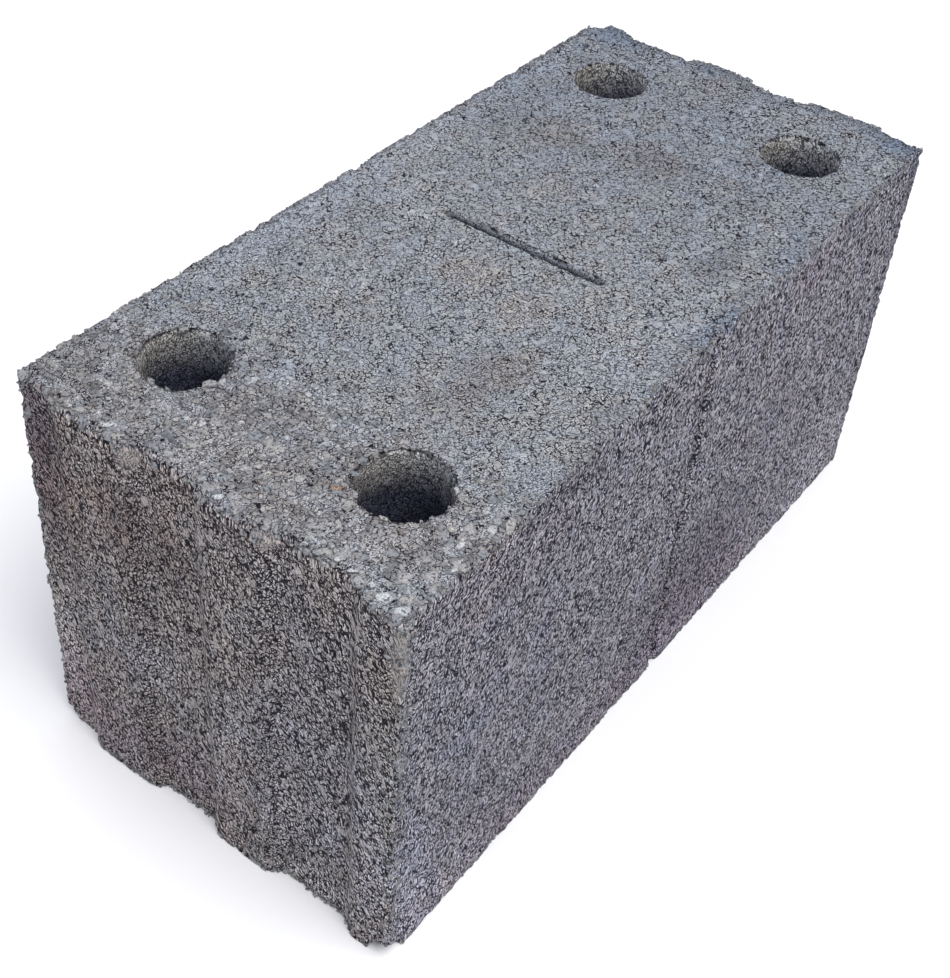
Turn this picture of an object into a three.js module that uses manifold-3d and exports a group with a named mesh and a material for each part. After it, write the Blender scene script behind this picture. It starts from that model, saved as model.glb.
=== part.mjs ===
// Tongue-and-groove concrete masonry block, cast in one piece.
// Millimetres, +Z up. The block stands on its bed face with X along the wall and Y through it.
// The origin is the centre of the bed face.

import * as THREE from 'three';
import { mergeVertices } from 'three/addons/utils/BufferGeometryUtils.js';
import Module from 'manifold-3d';

// Overall body.
const faceLength = 497; // crest of one end's keys to root of the other end's
const blockWidth = 238;
const blockHeight = 249;

// Upright keys on the two ends. One end is the other turned half round, so blocks lock together.
const keyDepth = 6;
const sideKeyWidth = 28; // from the side face to the middle of the first flank
const midKeyWidth = 42; // from the centre plane to the middle of the next flank
const keyFlank = 7; // how far a sloped flank runs across the end
const keyRound = 4;

// Upright arrises and the arrises round the top and the bed.
const cornerRound = 3;
const bedArris = 1.2;

// Splitting groove down the middle of each long side.
const splitWidth = 9;
const splitDepth = 3;
const splitFloor = 2.5;
const splitRound = 1.5;

// Grip holes, left by tapered cores. They are widest at the top, where the cores were drawn.
const gripDiameter = 46;
const gripEndMargin = 65; // hole centre to the crest of the end's keys
const gripSideMargin = 52; // hole centre to the side face
const gripDraft = 1.5; // loss of radius from the top to the bed
const gripSides = 40;

// Middle slot, left by a blade core, across the block between the two splitting grooves.
const slotLength = 105;
const slotWidth = 7;
const slotOffsetX = -1.5; // the blade stood a little off the middle
const slotOffsetY = 1.4;
const slotDraft = 0.5; // loss on each face of the slot from the top to the bed
const slotEndSides = 5;

// Worn lip where a core left the concrete.
const lipWear = 1.2;

const overlap = 2; // how far a cutter runs on past the faces that it cuts
const curveSteps = 3;

const blockLength = faceLength + keyDepth;
const halfLength = blockLength / 2;
const halfWidth = blockWidth / 2;

// Rounds each corner of a closed outline by its own radius, measured back along both edges.
function roundedShape(corners) {
  const shape = new THREE.Shape();
  corners.forEach((corner, i) => {
    const before = corners[(i + corners.length - 1) % corners.length];
    const after = corners[(i + 1) % corners.length];
    const start = corner.at.clone().sub(before.at).setLength(-corner.round).add(corner.at);
    const end = corner.at.clone().sub(after.at).setLength(-corner.round).add(corner.at);
    if (i === 0) {
      shape.moveTo(start.x, start.y);
    } else {
      shape.lineTo(start.x, start.y);
    }
    shape.quadraticCurveTo(corner.at.x, corner.at.y, end.x, end.y);
  });
  shape.closePath();
  return shape;
}

// Half of the plan outline: up the +X end from -Y to +Y, then along the +Y side to the -X corner.
// The +X end stands out on the strips that the -X end leaves back.
function halfOutline() {
  const flanks = [
    -halfWidth + sideKeyWidth,
    -midKeyWidth,
    0,
    midKeyWidth,
    halfWidth - sideKeyWidth,
  ];
  const corner = (x, y, round) => ({ at: new THREE.Vector2(x, y), round });
  const corners = [];
  let proud = false;
  const endX = () => (proud ? halfLength : halfLength - keyDepth);
  corners.push(corner(endX(), -halfWidth, cornerRound));
  for (const flank of flanks) {
    corners.push(corner(endX(), flank - keyFlank / 2, keyRound));
    proud = !proud;
    corners.push(corner(endX(), flank + keyFlank / 2, keyRound));
  }
  corners.push(corner(endX(), halfWidth, cornerRound));
  corners.push(corner(splitWidth / 2, halfWidth, splitRound));
  corners.push(corner(splitFloor / 2, halfWidth - splitDepth, splitRound / 2));
  corners.push(corner(-splitFloor / 2, halfWidth - splitDepth, splitRound / 2));
  corners.push(corner(-splitWidth / 2, halfWidth, splitRound));
  return corners;
}

// The whole outline is the half outline and its copy turned half round about Z.
function planShape() {
  const half = halfOutline();
  const turned = half.map(({ at, round }) => ({ at: at.clone().negate(), round }));
  return roundedShape([...half, ...turned]);
}

const wasm = await Module();
wasm.setup();

function toSolid(geometry) {
  const bare = geometry.clone();
  bare.deleteAttribute('normal');
  bare.deleteAttribute('uv');
  const merged = mergeVertices(bare, 1e-4);
  return new wasm.Manifold(new wasm.Mesh({
    numProp: 3,
    vertProperties: new Float32Array(merged.attributes.position.array),
    triVerts: new Uint32Array(merged.index.array),
  }));
}

function toGeometry(solid) {
  const { vertProperties, triVerts } = solid.getMesh();
  const geometry = new THREE.BufferGeometry();
  geometry.setAttribute('position', new THREE.BufferAttribute(vertProperties, 3));
  geometry.setIndex(new THREE.BufferAttribute(triVerts, 1));
  return geometry;
}

// Cast body, extruded up from the bed with a worn arris round the bed and the top.
function castBody() {
  const body = new THREE.ExtrudeGeometry(planShape(), {
    depth: blockHeight - 2 * bedArris,
    curveSegments: curveSteps,
    bevelEnabled: true,
    bevelThickness: bedArris,
    bevelSize: bedArris,
    bevelOffset: -bedArris,
    bevelSegments: 2,
  });
  body.translate(0, 0, bedArris);
  return toSolid(body);
}

// Turned cutter of one grip hole: a tapered core with a flared lip at both faces.
function gripCutter(x, y) {
  const topRadius = gripDiameter / 2;
  const bedRadius = topRadius - gripDraft;
  const profile = [
    new THREE.Vector2(0, -overlap),
    new THREE.Vector2(bedRadius + lipWear, -overlap),
    new THREE.Vector2(bedRadius + lipWear, 0),
    new THREE.Vector2(bedRadius, lipWear),
    new THREE.Vector2(topRadius, blockHeight - lipWear),
    new THREE.Vector2(topRadius + lipWear, blockHeight),
    new THREE.Vector2(topRadius + lipWear, blockHeight + overlap),
    new THREE.Vector2(0, blockHeight + overlap),
  ];
  const core = new THREE.LatheGeometry(profile, gripSides);
  core.rotateX(Math.PI / 2);
  core.translate(x, y, 0);
  return toSolid(core);
}

// Plan of the slot at one level: a long strip with round ends.
function slotPlan(halfOpening) {
  const straight = slotLength / 2 - halfOpening;
  const plan = new THREE.Shape();
  plan.absarc(0, straight, halfOpening, 0, Math.PI, false);
  plan.absarc(0, -straight, halfOpening, Math.PI, 2 * Math.PI, false);
  plan.closePath();
  return plan;
}

// Flare of the slot's mouth. Its wide part starts at wideZ and slopes in below and above that part.
function slotLip(halfOpening, wideZ) {
  const lip = new THREE.ExtrudeGeometry(slotPlan(halfOpening), {
    depth: overlap,
    curveSegments: slotEndSides,
    bevelEnabled: true,
    bevelThickness: lipWear,
    bevelSize: lipWear,
    bevelSegments: 1,
  });
  lip.translate(0, 0, wideZ);
  return toSolid(lip);
}

// Cutter of the middle slot: the blade's plan cut to its tapered section, with a lip at both faces.
function slotCutter() {
  const topHalf = slotWidth / 2;
  const bedHalf = topHalf - slotDraft;
  const blade = new THREE.ExtrudeGeometry(slotPlan(topHalf), {
    depth: blockHeight + 2 * overlap,
    curveSegments: slotEndSides,
    bevelEnabled: false,
  });
  blade.translate(0, 0, -overlap);

  const section = new THREE.Shape();
  section.moveTo(-bedHalf, -overlap);
  section.lineTo(bedHalf, -overlap);
  section.lineTo(bedHalf, 0);
  section.lineTo(topHalf, blockHeight);
  section.lineTo(topHalf, blockHeight + overlap);
  section.lineTo(-topHalf, blockHeight + overlap);
  section.lineTo(-topHalf, blockHeight);
  section.lineTo(-bedHalf, 0);
  section.closePath();
  const taper = new THREE.ExtrudeGeometry(section, {
    depth: slotLength + 2 * overlap,
    bevelEnabled: false,
  });
  taper.translate(0, 0, -slotLength / 2 - overlap);
  taper.rotateX(Math.PI / 2);

  return toSolid(blade)
    .intersect(toSolid(taper))
    .add(slotLip(topHalf, blockHeight))
    .add(slotLip(bedHalf, -overlap))
    .translate([slotOffsetX, slotOffsetY, 0]);
}

let block = castBody();
const gripX = halfLength - gripEndMargin;
const gripY = halfWidth - gripSideMargin;
for (const [x, y] of [[-gripX, gripY], [-gripX, -gripY], [gripX, gripY], [gripX, -gripY]]) {
  block = block.subtract(gripCutter(x, y));
}
block = block.subtract(slotCutter());

const concrete = new THREE.MeshStandardMaterial({ color: 0x8d8f93, roughness: 0.95, metalness: 0 });
const concreteBlock = new THREE.Mesh(toGeometry(block), concrete);
concreteBlock.name = 'concrete_block';

const object = new THREE.Group();
object.add(concreteBlock);

export default object;
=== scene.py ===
import math
from functools import partial

import bmesh
import bpy
import numpy as np
from mathutils import Matrix, Vector, noise
from mathutils.geometry import delaunay_2d_cdt
from mathutils.kdtree import KDTree


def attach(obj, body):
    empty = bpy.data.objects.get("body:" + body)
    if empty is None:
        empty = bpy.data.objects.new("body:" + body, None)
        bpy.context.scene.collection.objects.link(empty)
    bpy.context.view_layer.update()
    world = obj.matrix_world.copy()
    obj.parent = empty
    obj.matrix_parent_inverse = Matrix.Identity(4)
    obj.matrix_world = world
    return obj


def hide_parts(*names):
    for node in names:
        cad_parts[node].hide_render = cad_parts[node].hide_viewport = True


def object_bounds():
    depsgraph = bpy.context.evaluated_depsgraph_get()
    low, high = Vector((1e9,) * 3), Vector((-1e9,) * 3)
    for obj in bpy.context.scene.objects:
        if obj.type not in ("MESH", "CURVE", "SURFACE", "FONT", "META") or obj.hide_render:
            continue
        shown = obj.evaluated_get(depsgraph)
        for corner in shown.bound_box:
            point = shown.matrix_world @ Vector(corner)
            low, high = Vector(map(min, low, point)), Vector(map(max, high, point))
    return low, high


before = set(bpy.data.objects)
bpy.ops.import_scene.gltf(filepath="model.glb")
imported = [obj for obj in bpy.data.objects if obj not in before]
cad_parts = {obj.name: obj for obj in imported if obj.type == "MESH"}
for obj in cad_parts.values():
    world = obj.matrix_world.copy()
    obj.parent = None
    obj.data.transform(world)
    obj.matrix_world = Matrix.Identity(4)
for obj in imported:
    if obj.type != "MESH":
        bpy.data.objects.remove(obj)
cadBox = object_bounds()
scene = bpy.context.scene
mm = 0.001


def linearColour(hexText):
    # an sRGB hex value turned to the linear colour that a shader wants
    channels = [int(hexText[i:i + 2], 16) / 255 for i in (1, 3, 5)]
    return tuple(c / 12.92 if c <= 0.04045 else ((c + 0.055) / 1.055) ** 2.4 for c in channels) + (1.0,)


def addNode(tree, kind, feeds=(), operation=None, **settings):
    # one node; its feeds are values, nodes or sockets, by name or in the order of the inputs in use,
    # and a colour is given as hex text or as three numbers
    node = tree.nodes.new(kind if "Node" in kind else "ShaderNode" + kind)
    if operation:
        node.operation = operation
    for name, value in settings.items():
        setattr(node, name, value)
    used = [socket for socket in node.inputs if socket.enabled]
    for key, feed in feeds.items() if isinstance(feeds, dict) else enumerate(feeds):
        socket = node.inputs[key] if isinstance(key, str) else used[key]
        if isinstance(feed, bpy.types.Node):
            feed = next(output for output in feed.outputs if output.enabled)
        elif socket.type == "RGBA" and isinstance(feed, str):
            feed = linearColour(feed)
        elif socket.type == "RGBA" and isinstance(feed, tuple):
            feed = (*feed, 1.0)
        if isinstance(feed, bpy.types.NodeSocket):
            tree.links.new(feed, socket)
        else:
            socket.default_value = feed
    return node


def addObject(name, data):
    thing = bpy.data.objects.new(name, data)
    scene.collection.objects.link(thing)
    return thing


def newMaterial(name, roughness):
    # a material, its tree and its shader
    material = bpy.data.materials.new(name)
    material.use_nodes = True
    shader = material.node_tree.nodes["Principled BSDF"]
    shader.inputs["Roughness"].default_value = roughness
    return material, material.node_tree, shader


# the cast block, in mm
castBlock = {
    "faceLength": 497.0, "keyDepth": 6.0, "width": 238.0, "height": 249.0,
    "sideKeyWidth": 28.0, "midKeyWidth": 42.0, "keyFlank": 7.0, "keyRound": 4.0,
    "cornerRound": 1.4, "arris": 0.6, "grooveArris": 0.8,
    "splitWidth": 9.0, "splitDepth": 3.0, "splitFloor": 2.5, "splitRound": 1.5,
    "gripDiameter": 46.0, "gripEndMargin": 65.0, "gripSideMargin": 52.0, "gripDraft": 1.5,
    "slotLength": 105.0, "slotWidth": 6.6, "slotDraft": 0.5, "slotOffset": (-1.0, 1.4), "lipWear": 0.3,
    "lipTurn": 0.35, "lastLevel": 1.0,
    "topSpacing": 2.15, "bedSpacing": 6.5, "sideSpacing": 2.7, "bendSpacing": 1.8,
    "gripSpacing": 2.8, "slotSpacing": 2.4, "slotStep": 1.1, "depthStep": 70.0, "roundSteps": 12,
    "scatter": 0.28, "scatterGap": 0.62, "grooveMargin": 5.0, "farAway": 99.0, "seed": 11,
    # worn corners: the corner, then the radius that is left
    "wornCorners": [((-251.5, -119, 0), 13.0), ((-245.5, 119, 0), 7.0), ((251.5, 119, 249), 9.0),
                    ((-251.5, -119, 249), 4.0), ((245.5, 119, 0), 5.0)],
}
halfLength = (castBlock["faceLength"] + castBlock["keyDepth"]) / 2


def roundedOutline(corners, steps=10):
    # closed outline with each corner rounded by a curve that starts its own distance back
    points, bends = [], []
    for i, (x, y, reach) in enumerate(corners):
        here = np.array([x, y])
        before = np.array(corners[i - 1][:2]) - here
        after = np.array(corners[(i + 1) % len(corners)][:2]) - here
        start = here + before / np.linalg.norm(before) * reach
        end = here + after / np.linalg.norm(after) * reach
        for t in np.linspace(0, 1, steps):
            points.append((1 - t) ** 2 * start + 2 * t * (1 - t) * here + t * t * end)
            bends.append(True)
        bends[-1] = False
    return np.array(points), np.array(bends)


def respaced(points, bends, spacing, bendSpacing):
    # even steps along the outline, shorter round the bends
    following = np.roll(points, -1, axis=0)
    lengths = np.linalg.norm(following - points, axis=1)
    along = np.concatenate([[0], np.cumsum(lengths / np.where(bends, bendSpacing, spacing))])
    count = int(round(along[-1]))
    wanted = np.arange(count) * along[-1] / count
    closed = np.vstack([points, points[:1]])
    return np.stack([np.interp(wanted, along, closed[:, k]) for k in (0, 1)], axis=1)


def inwardNormals(loop):
    # unit normals that point into an outline that runs anticlockwise
    step = np.roll(loop, -1, axis=0) - np.roll(loop, 1, axis=0)
    normals = np.stack([-step[:, 1], step[:, 0]], axis=1)
    return normals / np.linalg.norm(normals, axis=1)[:, None]


def blockOutline(s):
    # the plan of the block, with its keys and splitting grooves
    halfWidth = s["width"] / 2
    keySide = halfWidth - s["sideKeyWidth"]
    flanks = [-keySide, -s["midKeyWidth"], 0, s["midKeyWidth"], keySide]
    endX = [halfLength - s["keyDepth"], halfLength]
    proud = 0
    half = [(endX[proud], -halfWidth, s["cornerRound"])]
    for flank in flanks:
        half.append((endX[proud], flank - s["keyFlank"] / 2, s["keyRound"]))
        proud = 1 - proud
        half.append((endX[proud], flank + s["keyFlank"] / 2, s["keyRound"]))
    half.append((endX[proud], halfWidth, s["cornerRound"]))
    for side, width, drop, share in ((1, "splitWidth", 0, 1), (1, "splitFloor", 1, 0.5),
                                     (-1, "splitFloor", 1, 0.5), (-1, "splitWidth", 0, 1)):
        half.append((side * s[width] / 2, halfWidth - drop * s["splitDepth"], share * s["splitRound"]))
    points, bends = roundedOutline(half + [(-x, -y, reach) for x, y, reach in half])
    return respaced(points, bends, s["sideSpacing"], s["bendSpacing"])


def insideLoops(points, loops, margin):
    # true for points inside the first loop, outside the others and at least a margin from all
    inside = np.zeros(len(points), bool)
    clear = np.ones(len(points), bool)
    for k, loop in enumerate(loops):
        crossings = np.zeros(len(points), int)
        for (x0, y0), (x1, y1) in zip(loop, np.roll(loop, -1, axis=0)):
            if y0 != y1:
                between = (points[:, 1] >= min(y0, y1)) & (points[:, 1] < max(y0, y1))
                at = x0 + (points[:, 1] - y0) / (y1 - y0) * (x1 - x0)
                crossings += between & (at > points[:, 0])
            if margin > 0:
                near = np.flatnonzero(np.abs(points - (x0, y0)).max(axis=1) < margin)
                clear[near[np.hypot(*(points[near] - (x0, y0)).T) < margin]] = False
        within = crossings % 2 == 1
        inside = within if k == 0 else inside & ~within
    return inside & clear


def buildCastBlock(s):
    # one closed mesh of even triangles, fine enough to be roughened, with what each point lies near
    rng = np.random.default_rng(s["seed"])
    height = s["height"]
    verts, faces, kinds = [], [], []

    def addPoints(xy, z, kind):
        first = sum(len(v) for v in verts)
        verts.append(np.column_stack([xy, np.broadcast_to(z, len(xy))]))
        kinds.append(np.full(len(xy), kind))
        return np.arange(first, first + len(xy))

    def stitch(upper, lower, outward):
        a, b = upper, np.roll(upper, -1)
        c, d = lower, np.roll(lower, -1)
        flip = (rng.random(len(a)) < 0.5)[:, None]
        one = np.where(flip, np.column_stack([a, c, b]), np.column_stack([a, c, d]))
        two = np.where(flip, np.column_stack([b, c, d]), np.column_stack([a, d, b]))
        quads = np.vstack([one, two])
        faces.append(quads if outward else quads[:, ::-1])

    def levels(top, bed, step):
        found, z = [], top - step(0.0)
        while z > bed + s["lastLevel"]:
            found.append(z)
            z -= step(top - z)
        return found

    # outer wall, with both arrises turned over
    outline = blockOutline(s)
    inward = inwardNormals(outline)
    nearSide = np.abs(outline[:, 1]) > s["width"] / 2 - s["grooveMargin"]
    inGroove = (np.abs(outline[:, 0]) < s["splitWidth"]) & nearSide
    reach = np.where(inGroove, s["grooveArris"], s["arris"])[:, None]
    turnOver = [(0.0, 1.0), (0.3, 0.3), (1.0, 0.0)]  # shares of drop and of inset
    rings = [addPoints(outline + inward * reach * inset, height - s["arris"] * drop, 1)
             for drop, inset in turnOver]
    for z in levels(height - s["arris"], s["arris"], lambda depth: s["sideSpacing"]):
        rings.append(addPoints(outline, z, 1))
    rings += [addPoints(outline + inward * reach * inset, s["arris"] * drop, 1)
              for drop, inset in reversed(turnOver)]
    for upper, lower in zip(rings, rings[1:]):
        stitch(upper, lower, True)

    # walls of the grip holes and of the slot
    gripX = halfLength - s["gripEndMargin"]
    gripY = s["width"] / 2 - s["gripSideMargin"]
    topLoops, bedLoops = [rings[0]], [rings[-1]]

    def addBore(loopAt, topHalf, draft, spacing, kind):
        lip, bedHalf = s["lipWear"], topHalf - draft
        turned = s["lipTurn"] * lip
        down = [(height, topHalf + lip), (height - turned, topHalf + turned), (height - lip, topHalf)]
        down += [(z, bedHalf + (topHalf - bedHalf) * z / height)
                 for z in levels(height - lip, lip, lambda depth: spacing * (1 + depth / s["depthStep"]))]
        down += [(lip, bedHalf), (turned, bedHalf + turned), (0, bedHalf + lip)]
        loops = [addPoints(loopAt(half), z, kind) for z, half in down]
        for upper, lower in zip(loops, loops[1:]):
            stitch(upper, lower, False)
        topLoops.append(loops[0])
        bedLoops.append(loops[-1])

    turn = np.arange(int(math.pi * s["gripDiameter"] / s["gripSpacing"]))
    turn = turn / len(turn) * 2 * math.pi
    for x, y in [(-gripX, gripY), (-gripX, -gripY), (gripX, gripY), (gripX, -gripY)]:
        addBore(lambda radius: np.column_stack([x + radius * np.cos(turn), y + radius * np.sin(turn)]),
                s["gripDiameter"] / 2, s["gripDraft"], s["gripSpacing"], 2)

    straight = (s["slotLength"] - s["slotWidth"]) / 2
    bend = np.linspace(0, math.pi, s["roundSteps"])
    halfSlot = np.column_stack([np.cos(bend), np.sin(bend)]) * s["slotWidth"] / 2 + (0, straight)
    slotLoop = respaced(np.vstack([halfSlot, -halfSlot]), np.zeros(2 * s["roundSteps"], bool),
                        s["slotSpacing"], s["slotSpacing"])
    slotAxis = np.column_stack([np.zeros(len(slotLoop)), np.clip(slotLoop[:, 1], -straight, straight)])
    slotAway = (slotLoop - slotAxis) / np.linalg.norm(slotLoop - slotAxis, axis=1)[:, None]
    addBore(lambda half: slotAxis + s["slotOffset"] + slotAway * half,
            s["slotWidth"] / 2, s["slotDraft"], s["slotSpacing"] * s["slotStep"], 3)

    # top and bed faces, filled with a loose scatter of points between the rings
    def fillFace(loops, z, spacing, upward):
        ringXy = np.vstack(verts)[:, :2]
        shapes = [ringXy[loop] for loop in loops]
        xs = np.arange(-halfLength, halfLength, spacing)
        ys = np.arange(-s["width"] / 2, s["width"] / 2, spacing * math.sqrt(3) / 2)
        gridX, gridY = np.meshgrid(xs, ys)
        gridX = gridX + (np.arange(len(ys)) % 2)[:, None] * spacing / 2
        scatter = np.column_stack([gridX.ravel(), gridY.ravel()])
        scatter += rng.uniform(-s["scatter"], s["scatter"], scatter.shape) * spacing
        scatter = scatter[insideLoops(scatter, shapes, spacing * s["scatterGap"])]
        ids = np.concatenate(loops + [addPoints(scatter, z, 0)])
        flat = np.vstack(shapes + [scatter])
        edges, base = [], 0
        for loop in loops:
            edges += [(base + i, base + (i + 1) % len(loop)) for i in range(len(loop))]
            base += len(loop)
        out = delaunay_2d_cdt([Vector(p) for p in flat], edges, [], 0, 1e-7)
        order = np.array([source[0] for source in out[3]])
        tris = order[np.array(out[2])]
        tris = tris[insideLoops(flat[tris].mean(axis=1), shapes, 0.0)]
        a, b = flat[tris[:, 1]] - flat[tris[:, 0]], flat[tris[:, 2]] - flat[tris[:, 0]]
        anticlockwise = (a[:, 0] * b[:, 1] - a[:, 1] * b[:, 0] > 0) == upward
        faces.append(ids[np.where(anticlockwise[:, None], tris, tris[:, ::-1])])

    fillFace(topLoops, height, s["topSpacing"], True)
    fillFace(bedLoops, 0.0, s["bedSpacing"], False)
    points, kind = np.vstack(verts), np.concatenate(kinds)

    # distance of each point from the nearest outer arris and from the nearest mouth
    def distanceTo(xy, flat):
        tree = KDTree(len(xy))
        for i, (x, y) in enumerate(xy):
            tree.insert((x, y, 0), i)
        tree.balance()
        return np.array([tree.find((x, y, 0))[2] for x, y in flat])

    fromEnds = np.minimum(height - points[:, 2], points[:, 2])
    onFace = kind == 0
    edge = np.where(kind == 1, fromEnds, s["farAway"])
    edge[onFace] = distanceTo(outline, points[onFace, :2])
    upright = np.hypot(np.abs(points[:, 0]) - s["faceLength"] / 2, np.abs(points[:, 1]) - s["width"] / 2)
    edge = np.where(kind == 1, np.minimum(edge, upright), edge)
    mouth = np.where(kind > 1, fromEnds, s["farAway"])
    mouth[onFace] = distanceTo(np.vstack([points[loop, :2] for loop in topLoops[1:]]), points[onFace, :2])
    depth = np.where(kind > 1, height - points[:, 2], 0.0)

    # worn corners, drawn in to a ball
    for corner, radius in s["wornCorners"]:
        corner = np.array(corner, float)
        side = np.sign(corner - (0, 0, height / 2))
        centre = corner - side * radius
        out = (points - centre) * side
        far = np.linalg.norm(out, axis=1)
        worn = (out > 0).all(axis=1) & (far > radius) & (far < 2 * radius)
        points[worn] = centre + (points[worn] - centre) / far[worn, None] * radius

    mesh = bpy.data.meshes.new("castConcrete")
    mesh.from_pydata((points * mm).tolist(), [], np.vstack(faces).tolist())
    wall = (kind == 1) * 1.0 + (kind == 2) * 0.5  # the grip holes are half like the walls
    for name, values in (("edgeDistance", edge), ("mouthDistance", mouth), ("boreDepth", depth),
                         ("wallShare", wall), ("slotShare", (kind == 3) * 1.0)):
        mesh.attributes.new(name, "FLOAT", "POINT").data.foreach_set("value", values.astype(np.float32))
    return mesh


# roughening and loose stones
smooth = {"interpolation_type": "SMOOTHSTEP"}
colours = {"data_type": "RGBA"}
tinting = {"data_type": "RGBA", "blend_type": "MULTIPLY"}


def wander(add, place, size, detail):
    # a vector that wanders about nothing from place to place
    colour = add("TexNoise", (place, 1 / size, detail)).outputs["Color"]
    return add("VectorMath", (colour, (0.5, 0.5, 0.5)), "SUBTRACT")


def geometryTree(name, numbers):
    # an empty tree with one input for each number
    tree = bpy.data.node_groups.new(name, "GeometryNodeTree")
    tree.interface.new_socket("Geometry", in_out="OUTPUT", socket_type="NodeSocketGeometry")
    tree.interface.new_socket("Geometry", in_out="INPUT", socket_type="NodeSocketGeometry")
    for label, value in numbers.items():
        kind = "NodeSocketInt" if isinstance(value, int) else "NodeSocketFloat"
        tree.interface.new_socket(label, in_out="INPUT", socket_type=kind).default_value = value
    return tree, addNode(tree, "NodeGroupInput").outputs, addNode(tree, "NodeGroupOutput")


def runTree(thing, tree, numbers):
    # the tree run on a thing once and its result kept as a plain mesh
    modifier = thing.modifiers.new(tree.name, "NODES")
    modifier.node_group = tree
    for item in tree.interface.items_tree:
        if item.item_type == "SOCKET" and item.name in numbers:
            modifier[item.identifier] = numbers[item.name]
    evaluated = thing.evaluated_get(bpy.context.evaluated_depsgraph_get())
    mesh = bpy.data.meshes.new_from_object(evaluated)
    thing.modifiers.remove(modifier)
    return mesh


def clampedPlace(tree, place):
    # a place kept inside the box of the cast block
    above = addNode(tree, "VectorMath", (place, tuple(cadBox[0])), "MAXIMUM")
    return addNode(tree, "VectorMath", (above, tuple(cadBox[1])), "MINIMUM")


# how deep each kind of wear goes, in mm
castSkin = {
    "Broad depth": 0.2, "Lump depth": 0.8, "Grain depth": 0.8,
    "Chip depth": 1.3, "Near arris loss": 3.4, "Mouth loss": 0.4, "Near end loss": 0.6, "Core swell": 0.4,
}

castWear = {
    # the noise behind each loss: mm across, its detail and the part of it that digs
    "noise": {"Broad depth": (45.0, 1.0, 0.35, 0.65), "Lump depth": (8.0, 1.0, 0.52, 0.74),
              "Grain depth": (3.8, 0.0, 0.52, 0.78), "Chip depth": (6.0, 1.0, 0.5, 0.7),
              "Near arris loss": (14.0, 1.0, 0.1, 0.5), "Mouth loss": (7.0, 2.0, 0.5, 0.7),
              "Near end loss": (5.0, 1.0, 0.2, 0.6)},
    # where each kind of wear starts and ends, in mm
    "edge": (0.5, 7.0, 1.0, 0.0), "arris": (0.5, 5.5, 1.0, 0.0), "mouth": (0.0, 5.0, 1.0, 0.0),
    "top": (246.0, 248.5), "swell": (0.0, 3.0), "end": (-166.0, -128.0, 1.0, 0.0),
    "stones": (1.0, 7.0, 1.0, 0.0), "wander": 30.0, "wanderSize": 22.0,
    # the stretch of the arris that is most worn: an axis and where the wear fades along it
    "arrisRun": [(0, -244.0, -236.0, 1.0, 0.0), (2, 240.0, 245.0, 0.0, 1.0),
                 (1, -100.0, -88.0, 0.0, 1.0), (1, 70.0, 92.0, 1.0, 0.3)],
    "slotShare": 0.5,  # what the slot takes of each loss
}

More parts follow.
